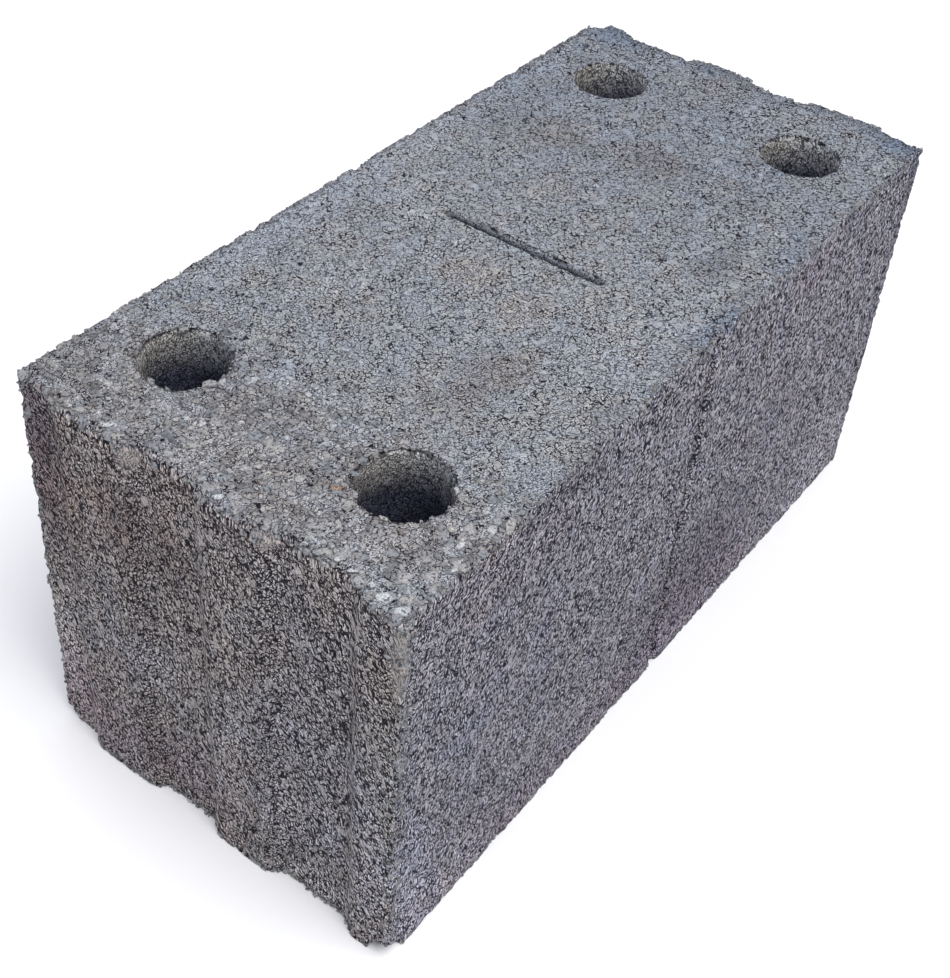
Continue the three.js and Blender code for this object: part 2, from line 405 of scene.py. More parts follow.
castStainsAndPaintedLight = {
    # what each kind of stain does to red, green and blue
    "tints": {"warm": (1.05, 0.99, 0.95), "brown": (0.86, 0.80, 0.76), "pale": (1.25, 1.25, 1.26),
              "lilac": (1.18, 1.2, 1.26), "blue": (0.92, 0.97, 1.05), "slate": (0.62, 0.72, 0.86),
              "dark": (0.72, 0.71, 0.72), "plum": (0.96, 0.86, 0.93), "olive": (1.03, 1.05, 1.0),
              "far": (0.85, 0.88, 0.915)},
    # the stains of each face, which lies across an axis at a level and takes them to a depth, in mm, a
    # few of them painted light and shade:
    # place and reach along the face, kind and strength, then any level and depth of a stain's own
    "faces": [(2, 249, 20, [  # the top, from the near end to the far end
        (-215, 0, 48, 160, "warm", 0.9), (-190, -75, 45, 40, "warm", 0.35),
        (-226, -66, 16, 16, "pale", 0.45), (-184, -104, 26, 10, "pale", 0.5),
        (-134, -44, 20, 22, "brown", 0.5), (-100, -50, 30, 20, "brown", 1.0),
        (-168, 22, 20, 24, "lilac", 0.5), (-238, -38, 8, 22, "pale", 0.5), (-242, 92, 8, 16, "pale", 0.9),
        (-92, -110, 22, 9, "dark", 0.6), (-86, 51, 18, 16, "lilac", 0.6), (-66, 80, 16, 14, "pale", 0.4),
        (-60, -115, 18, 5, "slate", 0.4, 246, 10), (-48, -34, 24, 16, "warm", 1.0),
        (-40, 8, 18, 22, "warm", 0.9), (-30, -85, 30, 22, "pale", 0.3), (-24, -109, 22, 9, "dark", 0.35),
        (-16, 67, 15, 13, "pale", 0.7), (14, -115, 34, 6, "slate", 0.7, 249, 7),
        (36, -110, 18, 8, "dark", 0.7), (2, 84, 16, 12, "pale", 0.6), (10, 109, 170, 13, "lilac", 0.5),
        (42, 77, 16, 14, "blue", 0.5), (44, 24, 7, 7, "pale", 0.45), (104, -109, 48, 9, "slate", 0.3),
        (56, -86, 22, 14, "dark", 0.8), (122, -68, 22, 14, "dark", 0.4), (72, -50, 14, 12, "brown", 0.5),
        (62, 22, 30, 16, "warm", 0.9), (100, 82, 30, 20, "dark", 0.3), (110, 50, 18, 26, "brown", 0.65),
        (118, -6, 22, 28, "brown", 0.95), (122, 38, 9, 11, "pale", 0.7), (124, -50, 16, 14, "warm", 0.9),
        (160, 20, 14, 14, "warm", 0.6), (205, 12, 14, 12, "warm", 0.6), (215, -18, 16, 14, "pale", 0.45),
        (210, 0, 170, 220, "far", 1.0, 249, 16), (225, 5, 22, 30, "brown", 0.35),
        (246, 0, 11, 180, "far", 1.0), (242, -106, 19, 20, "slate", 0.8, 249, 9),
        (240, 96, 16, 26, "slate", 0.6), (180, 109, 22, 10, "lilac", 0.8), (148, 68, 16, 14, "pale", 0.3)
    ]), (0, -250, 14, [  # down the near end
        (78, 214, 50, 46, "warm", 0.8), (102, 220, 22, 32, "dark", 1.0), (104, 226, 16, 24, "dark", 0.8),
        (54, 200, 18, 26, "brown", 0.7), (46, 194, 14, 26, "dark", 0.6), (96, 176, 26, 50, "brown", 1.0),
        (109, 168, 12, 34, "dark", 0.9), (24, 196, 20, 36, "brown", 1.0),
        (114, 200, 14, 60, "plum", 0.7, -248, 14), (95, 30, 50, 40, "plum", 0.8, -248, 14),
        # the tall, thin dark bands at 44 and -38 across lie on the key flanks: dirt there, with painted
        # shade where the flanks turn from the light
        (-75, 110, 50, 110, "blue", 0.7), (44, 140, 9, 150, "dark", 0.6),
        (-38, 120, 7, 130, "dark", 0.45), (15, 28, 40, 30, "plum", 0.6), (70, 110, 30, 32, "blue", 0.5),
        (-12, 96, 20, 24, "lilac", 0.9), (34, 102, 18, 22, "lilac", 0.8), (-14, 50, 16, 18, "lilac", 0.4),
        (109, 58, 15, 52, "pale", 1.0), (109, 54, 15, 60, "pale", 1.0), (-105, 70, 14, 60, "lilac", 1.0),
        (-33, 240, 22, 10, "dark", 0.5), (-65, 211, 18, 18, "dark", 0.3), (22, 184, 16, 20, "dark", 0.45),
        # the pale patches that lie low by the bed are painted bounce light from the floor
        (-84, 222, 16, 16, "pale", 0.6), (41, 34, 13, 20, "dark", 0.7), (-8, 12, 16, 12, "pale", 0.5),
        (-74, 11, 20, 16, "pale", 1.0), (-70, 9, 20, 14, "pale", 1.0), (-114, 150, 9, 100, "olive", 0.7),
        (-56, 60, 28, 28, "lilac", 0.8), (-52, 124, 14, 18, "lilac", 0.5)
    ]), (1, -119, 14, [  # along the side
        (-190, 225, 75, 30, "warm", 0.5), (-190, 130, 90, 65, "blue", 0.4),
        # the pale patches that lie low by the bed are painted bounce light from the floor
        (-236, 56, 18, 60, "lilac", 1.0), (-216, 22, 46, 34, "pale", 1.0), (-204, 8, 44, 12, "pale", 0.6),
        (-246, 10, 10, 12, "dark", 0.6), (-144, 205, 46, 50, "dark", 0.3),
        (-140, 14, 22, 14, "pale", 0.5), (-116, 240, 24, 12, "dark", 0.6),
        (-60, 10, 220, 25, "plum", 0.5), (-40, 10, 24, 12, "dark", 0.45), (40, 30, 75, 45, "plum", 0.55),
        (40, 66, 60, 46, "dark", 0.9), (-24, 60, 30, 44, "dark", 0.6), (115, 230, 25, 18, "plum", 0.6),
        (208, 24, 48, 54, "pale", 1.0), (150, 9, 70, 12, "pale", 0.6), (106, 133, 30, 18, "dark", 0.4),
        (196, 236, 22, 12, "pale", 0.5), (84, 183, 16, 14, "pale", 0.5), (-62, 9, 40, 12, "pale", 0.65),
        (244, 226, 14, 44, "dark", 1.0), (243, 110, 11, 150, "dark", 0.8)
    ])],
    "fade": (0.35, 1.3),  # shares of a stain's reach where it starts to fade and is gone
    "swirl": 14.0,  # mm that the stains' outlines wander
    "swirlSize": 22.0, "patch": 11.0, "mottle": 30.0,  # mm across
    "patchRange": (0.4, 0.58), "mottleRange": (0.35, 0.65),
    "warmMottle": (1.02, 1.0, 0.975), "coolMottle": (0.982, 1.0, 1.022),
    # smears where paste closed the crevices: middle and reach in mm, then how they fade
    "smears": [((-248.5, 41, 243), (5, 6, 9)), ((-248.5, -42, 246), (5, 6, 7)),
               ((-251, -118, 225), (5, 5, 24)), ((-247, 92, 247), (6, 9, 3))],
    "smearFade": (0.6, 1.15, 0.9, 0.0),
}


def castSkinTree():
    # sinks the cast surface by uneven amounts, most of all along its arrises and round its mouths
    tree, inputs, output = geometryTree("castSkin", castSkin)
    add = partial(addNode, tree)
    position = add("GeometryNodeInputPosition")
    place = add("VectorMath", (position, 1 / mm), "SCALE")
    axes = add("SeparateXYZ", (place,)).outputs
    edge, mouth, bore, slot = (add("GeometryNodeInputNamedAttribute", {"Name": name})
                               for name in ("edgeDistance", "mouthDistance", "boreDepth", "slotShare"))
    nearEdge, nearArris, nearMouth, onTop, swell = (
        add("MapRange", (along, *castWear[name]), **smooth) for along, name in
        ((edge, "edge"), (edge, "arris"), (mouth, "mouth"), (axes[2], "top"), (bore, "swell")))
    for axis, *ends in castWear["arrisRun"]:
        share = add("MapRange", (axes[axis], *ends), **smooth)
        nearArris = add("Math", (nearArris, share), "MULTIPLY")
    uneven = add("TexNoise", (place, 1 / castWear["wanderSize"]))
    along = add("Math", (uneven, castWear["wander"], axes[0]), "MULTIPLY_ADD")
    nearEnd = add("Math", (add("MapRange", (along, *castWear["end"]), **smooth), onTop), "MULTIPLY")

    # the core's swelling, less what each loss digs where it acts
    where = {"Chip depth": nearEdge, "Near arris loss": nearArris, "Mouth loss": nearMouth,
             "Near end loss": nearEnd}
    total = add("Math", (swell, inputs["Core swell"]), "MULTIPLY")
    total = add("Math", (total, -1.0), "MULTIPLY")
    for depth, (size, detail, low, high) in castWear["noise"].items():
        lumps = add("TexNoise", (place, 1 / size, detail))
        dug = add("Math", (add("MapRange", (lumps, low, high), **smooth), inputs[depth]), "MULTIPLY")
        dug = add("Math", (dug, where.get(depth, 1.0)), "MULTIPLY")
        total = add("Math", (total, dug), "ADD")
    share = add("MapRange", (slot, 0.0, 1.0, -mm, -mm * castWear["slotShare"]))
    total = add("Math", (total, share), "MULTIPLY")
    sunk = add("VectorMath", (add("GeometryNodeInputNormal"), total), "SCALE")
    moved = clampedPlace(tree, add("VectorMath", (position, sunk), "ADD"))
    skin = add("GeometryNodeSetPosition", {"Geometry": inputs["Geometry"], "Position": moved})

    # where stones may lie loose: over the near end of the top, and thickest along the arrises
    band = add("MapRange", (edge, *castWear["stones"]))

    # stains that tint the concrete, a few of them painted light and shade, and smears of paste that close
    # its crevices
    swirl = wander(add, place, castStainsAndPaintedLight["swirlSize"], 2.0)
    spread = add("VectorMath", (swirl, (castStainsAndPaintedLight["swirl"],) * 3, place), "MULTIPLY_ADD")
    patch, mottle = (
        add("MapRange", (add("TexNoise", (place, 1 / castStainsAndPaintedLight[name], 1.0)),
                         *castStainsAndPaintedLight[name + "Range"]), **smooth) for name in ("patch", "mottle"))
    tint = add("Mix", (mottle, castStainsAndPaintedLight["warmMottle"], castStainsAndPaintedLight["coolMottle"]), **colours)

    def shareOf(around, middle, reach, fade):
        offset = add("VectorMath", (around, middle), "SUBTRACT")
        offset = add("VectorMath", (offset, reach), "DIVIDE")
        return add("MapRange", (add("VectorMath", (offset,), "LENGTH"), *fade), **smooth)

    for axis, level, depth, laid in castStainsAndPaintedLight["faces"]:
        for x, y, reachX, reachY, kind, strength, *own in laid:
            middle, reach = [x, y], [reachX, reachY]
            for sizes, size in zip((middle, reach), own or (level, depth)):
                sizes.insert(axis, size)
            share = shareOf(spread, middle, reach, (*castStainsAndPaintedLight["fade"], strength, 0.0))
            tint = add("Mix", (share, tint, castStainsAndPaintedLight["tints"][kind]), **tinting)
    smeared = 0.0
    for middle, reach in castStainsAndPaintedLight["smears"]:
        share = shareOf(place, middle, reach, castStainsAndPaintedLight["smearFade"])
        smeared = add("Math", (smeared, share), "MAXIMUM")

    marks = {"nearEnd": nearEnd, "arrisBand": band, "smeared": smeared, "patch": patch, "stainTint": tint}
    for name, value in marks.items():
        skin = add("GeometryNodeStoreNamedAttribute", {"Geometry": skin, "Name": name, "Value": value},
                   data_type="FLOAT_COLOR" if value is tint else "FLOAT")
    tree.links.new(skin.outputs[0], output.inputs[0])
    return tree


looseShape = {
    # least and most of each loose stone's half axes, against its radius
    "flattest": (0.9, 0.7, 0.4), "fullest": (1.5, 1.1, 0.75),
    "tilt": 0.5, "spin": 6.283,  # most that it leans and that it is turned round, in radians
    "fewLarge": 2.2,  # the higher, the fewer large ones
    "knock": 2.4, "knockSize": 1.6,  # how far its surface is knocked about and over what distance, in mm
    "lightest": 0.95,  # the last tones of the palette are left for the single pebbles
}


def looseStoneTree(name, numbers, whereName, finish):
    # beds flat, uneven stones in the cast surface where an attribute of it allows them
    tree, inputs, output = geometryTree(name, numbers)
    add = partial(addNode, tree)
    where = add("GeometryNodeInputNamedAttribute", {"Name": whereName})
    spacing = add("Math", (inputs["Spacing"], mm), "MULTIPLY")
    points = add("GeometryNodeDistributePointsOnFaces", {
        "Mesh": inputs["Geometry"], "Distance Min": spacing, "Density Max": inputs["Density"],
        "Density Factor": where, "Seed": inputs["Seed"]}, distribute_method="POISSON")
    tilt, spin = looseShape["tilt"], looseShape["spin"]
    chance, spin, shape, tone = (
        add("FunctionNodeRandomValue", {0: low, 1: high, "Seed": add("Math", (inputs["Seed"], k), "ADD")},
            data_type=kind)
        for k, kind, low, high in ((1.0, "FLOAT", 0.0, 1.0),
                                   (2.0, "FLOAT_VECTOR", (-tilt, -tilt, 0.0), (tilt, tilt, spin)),
                                   (3.0, "FLOAT_VECTOR", looseShape["flattest"], looseShape["fullest"]),
                                   (4.0, "FLOAT", 0.0, looseShape["lightest"])))
    share = add("Math", (chance, looseShape["fewLarge"]), "POWER")
    radius = add("MapRange", (share, 0.0, 1.0, inputs["Smallest"], inputs["Largest"]))
    radius = add("Math", (radius, mm), "MULTIPLY")
    depth = add("Math", (radius, inputs["Sunk"]), "MULTIPLY")
    depth = add("Math", (depth, -1.0), "MULTIPLY")
    down = add("VectorMath", (points.outputs["Normal"], depth), "SCALE")
    bedded = add("GeometryNodeSetPosition", {"Geometry": points, "Offset": down})
    turned = add("FunctionNodeRotateRotation", (points.outputs["Rotation"], spin), rotation_space="LOCAL")
    ball = add("GeometryNodeMeshIcoSphere", {"Radius": 1.0, "Subdivisions": 1})
    size = add("VectorMath", (shape, radius), "SCALE")
    placed = add("GeometryNodeInstanceOnPoints", {
        "Points": bedded, "Instance": ball, "Rotation": turned, "Scale": size})
    toned = add("GeometryNodeStoreNamedAttribute", {
        "Geometry": placed, "Name": "stoneTone", "Value": tone}, domain="INSTANCE")
    real = add("GeometryNodeRealizeInstances", {"Geometry": toned})

    # knocked out of shape, kept in the box and marked with how far each point stands out, for the painted
    # shade low on each stone
    position = add("GeometryNodeInputPosition")
    place = add("VectorMath", (position, 1 / mm), "SCALE")
    knock = wander(add, place, looseShape["knockSize"], 0.0)
    knock = add("VectorMath", (knock, looseShape["knock"] * mm), "SCALE")
    moved = clampedPlace(tree, add("VectorMath", (position, knock), "ADD"))
    stones = add("GeometryNodeSetPosition", {"Geometry": real, "Position": moved})
    near = add("GeometryNodeProximity", (inputs["Geometry"],), target_element="FACES")
    lift = add("Math", (near.outputs["Distance"], 1 / mm), "MULTIPLY")
    marks = {"Geometry": stones, "Name": "stoneLift", "Value": lift}
    stones = add("GeometryNodeStoreNamedAttribute", marks)
    stones = add("GeometryNodeSetMaterial", {"Geometry": stones, "Material": finish})
    tree.links.new(stones.outputs[0], output.inputs[0])
    return tree


concreteLook = {
    "topTone": "#989b9d", "sideTone": "#959398", "endTone": "#999492",
    # painted shade of the crevices: how dark they are painted, and the colour added over all of the
    # surface
    "creviceShadeTone": 0.03, "creviceShadeColour": "#070419", "endCreviceShadeColour": "#0a0412",
    # the slot's wall is painted light near its lip, and the bores' walls are painted down to a deep tone
    # as shade
    "boreTone": "#adaba7", "slotLitTone": "#b6b6b8", "deepShadeTone": "#444856", "pasteTone": "#7f7a75",
    "boreCrevice": 0.87,  # how dark the crevices stay inside the bores
    # mm down where a bore's painted shade starts and is darkest
    "boreShadeFade": (3.0, 30.0), "slotShadeFade": (2.0, 7.0),
    # warm and cool casts of each grain, each patch and each bare stone, and on the two sides of a bore
    # painted light and shade: warm where lit, cool where shaded
    "litBoreTint": (1.06, 1.03, 0.97), "shadedBoreTint": (0.93, 0.98, 1.06),
    "warmGrain": (1.015, 1.0, 0.98), "coolGrain": (0.985, 1.0, 1.02),
    "warmPatch": (1.025, 1.0, 0.97), "coolPatch": (0.988, 1.0, 1.015),
    "warmCobble": (1.025, 0.995, 0.975), "coolCobble": (0.985, 1.0, 1.02),

    # the grains: mm across, then how much finer the walls' are, and their stretch towards the far end
    "grain": 2.4, "bend": 1.6, "bendSize": 2.6, "gap": 1.1, "hook": 1.3, "pore": 1.6, "stone": 3.6,
    "lump": 1.2,
    "wallGrainScale": (1.3, 1.2, 1.1), "coarsening": 0.4,
    "grainMiddle": 125.0,  # height that the stretch leaves where it is
    # the far end, the far side and the bed lie past these and keep the plain size
    "plainFrom": [(0, "GREATER_THAN", 244.3), (1, "GREATER_THAN", 116.5), (2, "LESS_THAN", 2.5)],
    "grainTurn": (0.6, 0.4, 0.9),
    # how the flakes of the walls lean and are drawn out
    "flakeAxis": (0.5, 0.57, 0.65), "flakeSquash": 0.7,
    "ownTone": (0.97, 1.03),
    "brightGrain": (0.975, 0.98, 1.0, 1.2),  # how rare a bright grain is, and how bright
    "rimReach": 0.9, "crackEdge": 0.06,  # mm
    "stoneRange": (0.68, 0.71), "poreRange": (0.74, 0.78), "hookCore": 0.012, "hookFlank": 0.12,
    "shutHook": (0.0, 0.5, 0.15, 1.0),
    # each pair: on the top and bed, then on the walls
    "byFace": {
        "openFrom": (0.405, 0.32), "openTo": (0.435, 0.38), "crackHalf": (0.21, 0.27),
        "hookHalf": (0.07, 0.08), "hookShare": (0.68, 1.0), "pitShare": (0.003, 0.002),
        "pressedShare": (0.15, 0.0), "stoneShare": (0.8, 0.7), "stoneTone": (1.03, 1.02),
        # a painted highlight along each grain's rim beside the crevices, on the top and bed, then on the
        # walls
        "rimTone": (1.15, 1.35), "sandScale": (1.67, 1.2), "sandFrom": (0.3, 0.34),
        "sandTo": (0.7, 0.54), "sandLow": (0.72, 0.4), "sandHigh": (1.22, 1.42), "patchHue": (1.0, 0.6)},
    "lumpRelief": 0.45, "hookRelief": 0.45,  # mm
    # painted shade in the splitting groove of the walls, and how far it reaches
    "grooveReach": (0.5, 4.5, 1.0, 0.0), "grooveShadeTint": (0.5, 0.48, 0.48),
    "endFrom": (0.5, 0.8),  # how far a face looks along the block where its tone turns to the end's
    # a bore's painted light and shade: turned from its warm lit side to its cool shaded side
    "boreAcross": (-0.7, 0.7, 0.0), "boreTurn": (-0.6, 0.8),  # from its warm side to its cool side
    "lipFade": (0.0, 2.0), "roughness": 0.92, "sheen": 0.15,

    # the worn near end: its black pits and its bare stones, in mm or as shares
    "wornPits": 0.014, "pitEdge": (0.2, 0.5), "wornRange": (0.86, 1.14),
    "cobble": 3.3, "cobbleShare": 0.6, "cobbleCrack": (0.12, 0.28, 1.0, 0.0),
    "cobbleHeight": 0.8, "cobbleFlank": 1.6,
    # each bare stone painted lighter in its middle and darker at its rim, as the shading of a dome
    "cobbleBend": 4.0, "cobbleTone": (0.72, 1.4), "cobbleDomeShade": (0.0, 1.3, 0.78, 1.1),
    "cobbleGrain": (0.6, 1.3, 0.85, 1.1), "cobbleGap": (0.0, 0.5, 0.35, 1.0), "cobbleDark": 0.25,
}


def pressedConcrete(look):
    # pressed dry-mix concrete: packed grains with broken crevices between them, painted black as the
    # shade in them, quite matt, blue-grey on top where the press head closed it, more open and warmer
    # down the walls
    material, tree, shader = newMaterial("pressedConcrete", look["roughness"])
    add = partial(addNode, tree)

    def cells(around, size):
        # three numbers of each cell's own, and the distance from its edge
        cell = add("TexVoronoi", (around, 1 / size)).outputs["Color"]
        edge = add("TexVoronoi", (around, 1 / size), feature="DISTANCE_TO_EDGE")
        return add("SeparateColor", (cell,)).outputs, add("Math", (edge, size), "MULTIPLY")

    where = add("TexCoord").outputs
    place = add("VectorMath", (where["Object"], 1 / mm), "SCALE")
    axes = x, y, z = tuple(add("SeparateXYZ", (place,)).outputs)
    normalX = add("Math", (add("SeparateXYZ", (where["Normal"],)),), "ABSOLUTE")
    wall, bore, slot, smeared, worn, patch = (
        add("Attribute", attribute_name=name).outputs["Fac"]
        for name in ("wallShare", "boreDepth", "slotShare", "smeared", "nearEnd", "patch"))
    stainAndPaintedLight = add("Attribute", attribute_name="stainTint").outputs["Color"]
    onWall = add("Math", (add("Math", (wall, 2.0), "MULTIPLY"),), "ROUND")  # none, half or all
    onWall = add("Math", (onWall, 2.0), "DIVIDE")
    onEnd = add("MapRange", (normalX, *look["endFrom"]), **smooth)
    byFace = {name: add("MapRange", (onWall, 0.0, 1.0, *pair)) for name, pair in look["byFace"].items()}

    # grain coordinates, which stretch towards the far end on the top and the near side
    coarse = add("MapRange", (x, -halfLength, halfLength, 1.0, 1.0 + look["coarsening"]))
    stretched = add("Math", (coarse, math.e), "LOGARITHM")
    stretched = add("Math", (stretched, 2 * halfLength / look["coarsening"]), "MULTIPLY")
    raised = add("Math", (z, look["grainMiddle"]), "SUBTRACT")
    grainPlace = add("CombineXYZ", (stretched, add("Math", (y, coarse), "DIVIDE"),
                                    add("Math", (raised, coarse), "DIVIDE")))
    plain = 0.0
    for axis, beyond, limit in look["plainFrom"]:
        plain = add("Math", (plain, add("Math", (axes[axis], limit), beyond)), "MAXIMUM")
    grainPlace = add("Mix", (plain, grainPlace, place), data_type="VECTOR")
    grainScale = add("Mix", (onWall, (1.0,) * 3, look["wallGrainScale"]), data_type="VECTOR")
    grainPlace = add("VectorMath", (grainPlace, grainScale), "MULTIPLY")
    # on the walls the grains are drawn out into flakes that lean the way the mould was stripped
    flake = add("VectorMath", (grainPlace, look["flakeAxis"]), "DOT_PRODUCT")
    flake = add("Math", (add("Math", (flake, onWall), "MULTIPLY"), look["flakeSquash"]), "MULTIPLY")
    flake = add("VectorMath", (look["flakeAxis"], flake), "SCALE")
    grainPlace = add("VectorMath", (grainPlace, flake), "SUBTRACT")
    # turned, so that no face lies along a plane of the noises' own grid, where they are weakest
    grainPlace = add("VectorRotate", {"Vector": grainPlace, "Rotation": look["grainTurn"]},
                     rotation_type="EULER_XYZ")
    bend = wander(add, grainPlace, look["bendSize"], 1.0)
    warped = add("VectorMath", (bend, (look["bend"],) * 3, grainPlace), "MULTIPLY_ADD")

    # patches that the press closed, and the smooth faces of larger stones
    pressed = add("Math", (patch, byFace["pressedShare"]), "MULTIPLY")
    stone = add("TexNoise", (warped, 1 / look["stone"], 0.0))
    stone = add("MapRange", (stone, *look["stoneRange"]), **smooth)
    stone = add("Math", (stone, byFace["stoneShare"]), "MULTIPLY")

    # crevices, painted dark as the shade in them: along broken parts of the edges of the grains, in wavy
    # hooks between them, and pores
    gaps = add("TexNoise", (grainPlace, 1 / look["gap"], 1.0))
    gaps = add("MapRange", (gaps, byFace["openFrom"], byFace["openTo"]), **smooth)
    for shut in (pressed, stone):
        gaps = add("Math", (gaps, add("Math", (1.0, shut), "SUBTRACT")), "MULTIPLY")
    own, away = cells(warped, look["grain"])
    half = add("Math", (gaps, byFace["crackHalf"]), "MULTIPLY")
    narrow = add("Math", (away, half), "SUBTRACT")
    dark = add("MapRange", (narrow, -look["crackEdge"], look["crackEdge"], 1.0, 0.0), **smooth)
    dark = add("Math", (dark, gaps), "MULTIPLY")
    wave = add("TexNoise", (grainPlace, 1 / look["hook"], 0.0))
    wave = add("Math", (add("Math", (wave, 0.5), "SUBTRACT"),), "ABSOLUTE")
    hook = add("MapRange", (wave, look["hookCore"], byFace["hookHalf"], 1.0, 0.0), **smooth)
    part = add("MapRange", (gaps, *look["shutHook"]))
    part = add("Math", (part, byFace["hookShare"]), "MULTIPLY")
    dark = add("Math", (dark, add("Math", (hook, part), "MULTIPLY")), "MAXIMUM")
    pores = add("TexNoise", (grainPlace, 1 / look["pore"], 0.0))
    pores = add("MapRange", (pores, *look["poreRange"]), **smooth)
    dark = add("Math", (dark, pores), "MAXIMUM")
    dark = add("Math", (dark, add("Math", (1.0, smeared), "SUBTRACT")), "MULTIPLY")

    # flat stones laid bare at the worn end, each with a crevice round it painted dark as shade
    cobblePlace = add("VectorMath", (bend, (look["cobbleBend"],) * 3, place), "MULTIPLY_ADD")
    cobble, cobbleEdge = cells(cobblePlace, look["cobble"])
    bare = add("Math", (worn, look["cobbleShare"]), "MULTIPLY")
    bare = add("Math", (cobble[0], bare), "LESS_THAN")
    ring = add("MapRange", (cobbleEdge, *look["cobbleCrack"]), **smooth)
    ring = add("Math", (ring, add("MapRange", (gaps, *look["cobbleGap"]))), "MULTIPLY")
    bareDark = add("Math", (add("Math", (dark, look["cobbleDark"]), "MULTIPLY"), ring), "MAXIMUM")
    dark = add("Mix", (bare, dark, bareDark))

    # pits where a grain fell out, painted black as the shade in them
    pitted = add("Math", (worn, look["wornPits"], byFace["pitShare"]), "MULTIPLY_ADD")
    fallen = add("Math", (own[1], pitted), "LESS_THAN")
    fallen = add("Math", (fallen, add("MapRange", (away, *look["pitEdge"]), **smooth)), "MULTIPLY")
    dark = add("Math", (dark, fallen), "MAXIMUM")

    # how light each grain is: its own tone, now and then a bright one, a fine speckle, and a painted
    # highlight along its rim beside the crevices
    speckle = add("TexNoise", (grainPlace, byFace["sandScale"], 0.0))
    limits = [byFace["sand" + end] for end in ("From", "To", "Low", "High")]
    speckle = add("MapRange", (speckle, *limits), **smooth)
    light = add("Mix", (stone, speckle, byFace["stoneTone"]))
    for factor in (add("MapRange", (own[0], 0.0, 1.0, *look["ownTone"])),
                   add("MapRange", (own[1], *look["brightGrain"])),
                   add("MapRange", (away, 0.0, look["rimReach"], byFace["rimTone"], 1.0), **smooth)):
        light = add("Math", (light, factor), "MULTIPLY")
    # each bare stone painted lighter in its middle and darker at its rim as the shading of a dome, times
    # its own tone and grain
    bareLight = add("MapRange", (cobbleEdge, *look["cobbleDomeShade"]), **smooth)
    for factor in (add("MapRange", (cobble[1], 0.0, 1.0, *look["cobbleTone"])),
                   add("MapRange", (light, *look["cobbleGrain"]))):
        bareLight = add("Math", (bareLight, factor), "MULTIPLY")
    light = add("Mix", (bare, light, bareLight))
    uneven = add("MapRange", (patch, 0.0, 1.0, *look["wornRange"]))
    uneven = add("Mix", (worn, 1.0, uneven))
    light = add("Math", (light, uneven), "MULTIPLY")

    # face tones, a little hue to each grain and patch, then stains with a few patches of painted light
    # and shade, painted shade in the splitting groove, and smears
    wallTone, crevice = (
        add("Mix", (onEnd, look[side], look[end]), **colours)
        for side, end in (("sideTone", "endTone"), ("creviceShadeColour", "endCreviceShadeColour")))
    tone = add("Mix", (wall, look["topTone"], wallTone), **colours)
    hue, patchHue, cobbleHue = (
        add("Mix", (share, look["warm" + kind], look["cool" + kind]), **colours)
        for share, kind in ((own[2], "Grain"), (patch, "Patch"), (cobble[2], "Cobble")))
    fromGroove = add("Math", (x,), "ABSOLUTE")
    grooveShadeShare = add("MapRange", (fromGroove, *look["grooveReach"]), **smooth)
    grooveShadeShare = add("Math", (grooveShadeShare, wall), "MULTIPLY")
    for share, tint in ((1.0, hue), (byFace["patchHue"], patchHue), (bare, cobbleHue), (1.0, stainAndPaintedLight),
                        (grooveShadeShare, look["grooveShadeTint"])):
        tone = add("Mix", (share, tone, tint), **tinting)
    tone = add("Mix", (smeared, tone, look["pasteTone"]), **colours)

    # the bores' walls, painted darker the deeper they go as the shade that falls in them, and the slot's
    # wall painted light at its lip
    fade = {name: add("MapRange", (bore, *look[name]), **smooth) for name in ("boreShadeFade", "slotShadeFade")}
    deepShade = add("Mix", (slot, fade["boreShadeFade"], fade["slotShadeFade"]))
    boreTone = add("Mix", (slot, look["boreTone"], look["slotLitTone"]), **colours)
    boreTone = add("Mix", (deepShade, boreTone, look["deepShadeTone"]), **colours)
    # painted light on the bores: warm where the wall faces the light, cool where it is in shade
    across = add("VectorMath", (where["Normal"], look["boreAcross"]), "DOT_PRODUCT")
    across = add("MapRange", (across, *look["boreTurn"]), **smooth)
    boreLightTint = add("Mix", (across, look["litBoreTint"], look["shadedBoreTint"]), **colours)
    boreTone = add("Mix", (1.0, boreTone, boreLightTint), **tinting)
    inside = add("MapRange", (bore, *look["lipFade"]), **smooth)
    tone = add("Mix", (inside, tone, boreTone), **colours)

    # all of it together: the crevices' painted shade, a little less dark in the bores, and the crevice
    # shade colour added over all of it
    quiet = add("MapRange", (inside, 0.0, 1.0, 1.0, look["boreCrevice"]))
    dark = add("Math", (dark, quiet), "MULTIPLY")
    dark = add("MapRange", (dark, 0.0, 1.0, 1.0, look["creviceShadeTone"]))
    shade = add("Math", (light, dark), "MULTIPLY")
    shade = add("CombineXYZ", (shade, shade, shade))
    colour = add("Mix", (1.0, tone, shade), **tinting)
    colour = add("Mix", (1.0, colour, crevice), blend_type="ADD", **colours)
    tree.links.new(colour.outputs[2], shader.inputs["Base Color"])

    # relief of the grains, in mm
    relief = add("TexNoise", (grainPlace, 1 / look["lump"], 1.0))
    relief = add("Math", (relief, look["lumpRelief"]), "MULTIPLY")
    beside = add("MapRange", (wave, 0.0, look["hookFlank"]), **smooth)
    relief = add("Math", (beside, look["hookRelief"], relief), "MULTIPLY_ADD")
    domed = add("MapRange", (cobbleEdge, 0.0, look["cobbleFlank"], 0.0, look["cobbleHeight"]), **smooth)
    relief = add("Math", (domed, bare, relief), "MULTIPLY_ADD")
    bump = add("Bump", {"Strength": 1.0, "Distance": mm, "Height": relief})
    tree.links.new(bump.outputs[0], shader.inputs["Normal"])
    shader.inputs["Specular IOR Level"].default_value = look["sheen"]
    return material


